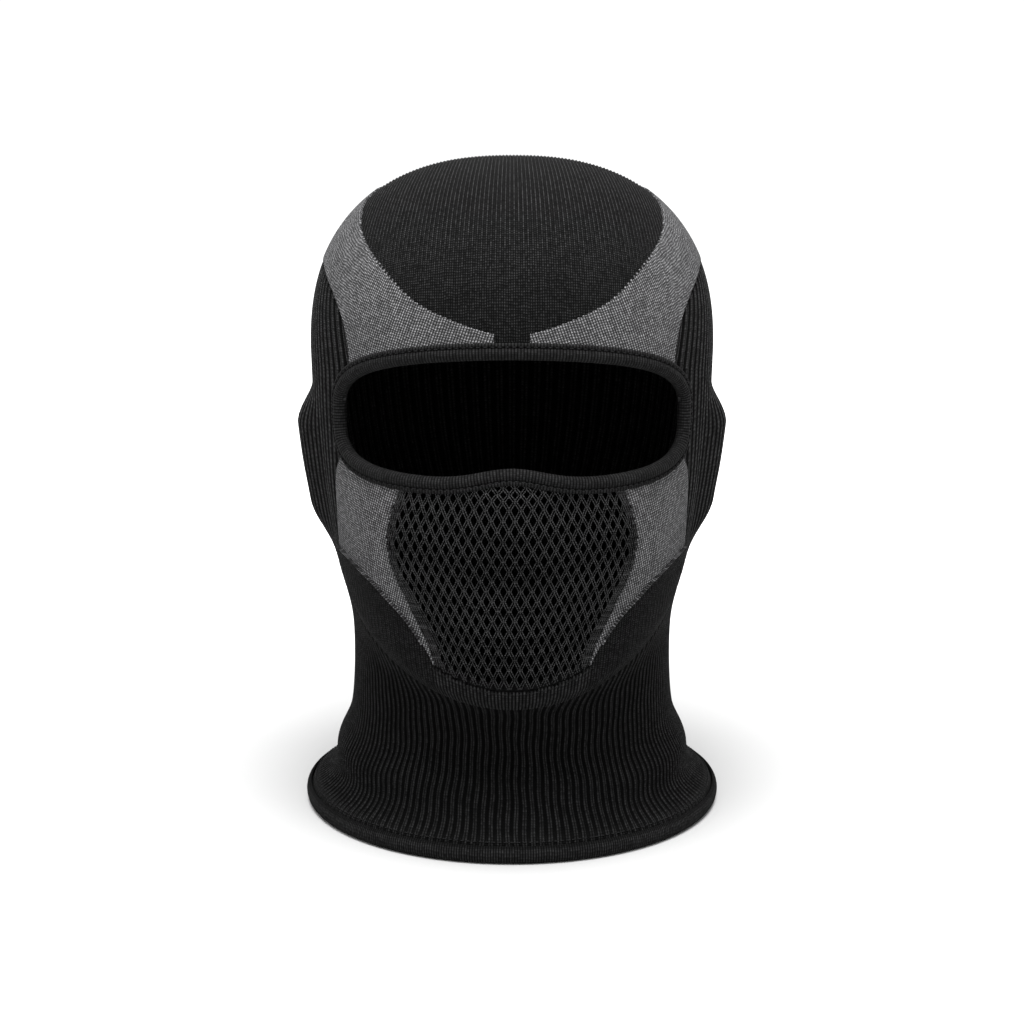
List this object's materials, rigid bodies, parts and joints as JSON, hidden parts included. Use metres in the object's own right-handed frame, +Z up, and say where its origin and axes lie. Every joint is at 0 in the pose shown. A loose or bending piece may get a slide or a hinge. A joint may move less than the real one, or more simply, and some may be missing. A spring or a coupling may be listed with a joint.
{
  "type": "balaclava",
  "caption": "Knitted head and neck cover with one wide eye opening in a folded binding, a mesh panel over nose and mouth, and a ribbed neck that flares to a hem.",
  "frame": {"origin": "on the surface it stands on, under the middle of the object's box", "axes": "+Z up; the eye opening faces -Y; +X is the wearer's left"},
  "size_m": [0.176, 0.207, 0.268],
  "materials": {
    "black_knit": "matt fine knit",
    "grey_knit": "matt fine knit with dark and light stitches",
    "black_rib": "matt ribbed knit",
    "black_mesh": "matt open knit",
    "black_tape": "matt fine-ribbed tape",
    "elastic": "matt",
    "thread": "slightly shiny thread"
  },
  "bodies": {
    "root": {"crown_panel": "black_knit", "jaw_panel_left": "black_knit", "jaw_panel_right": "black_knit", "temple_band_left": "grey_knit", "temple_band_right": "grey_knit", "cheek_panel_left": "grey_knit", "cheek_panel_right": "grey_knit", "ear_panel_left": "black_rib", "ear_panel_right": "black_rib", "back_panel": "black_rib", "chin_band": "black_rib", "neck_tube": "black_rib", "mouth_mesh": "black_mesh", "eye_binding": "black_tape", "hem_band": "black_tape", "eye_elastic": "elastic", "eye_stitching": "thread", "hem_stitching": "thread", "chin_stitching": "thread"}
  },
  "joints": []
}
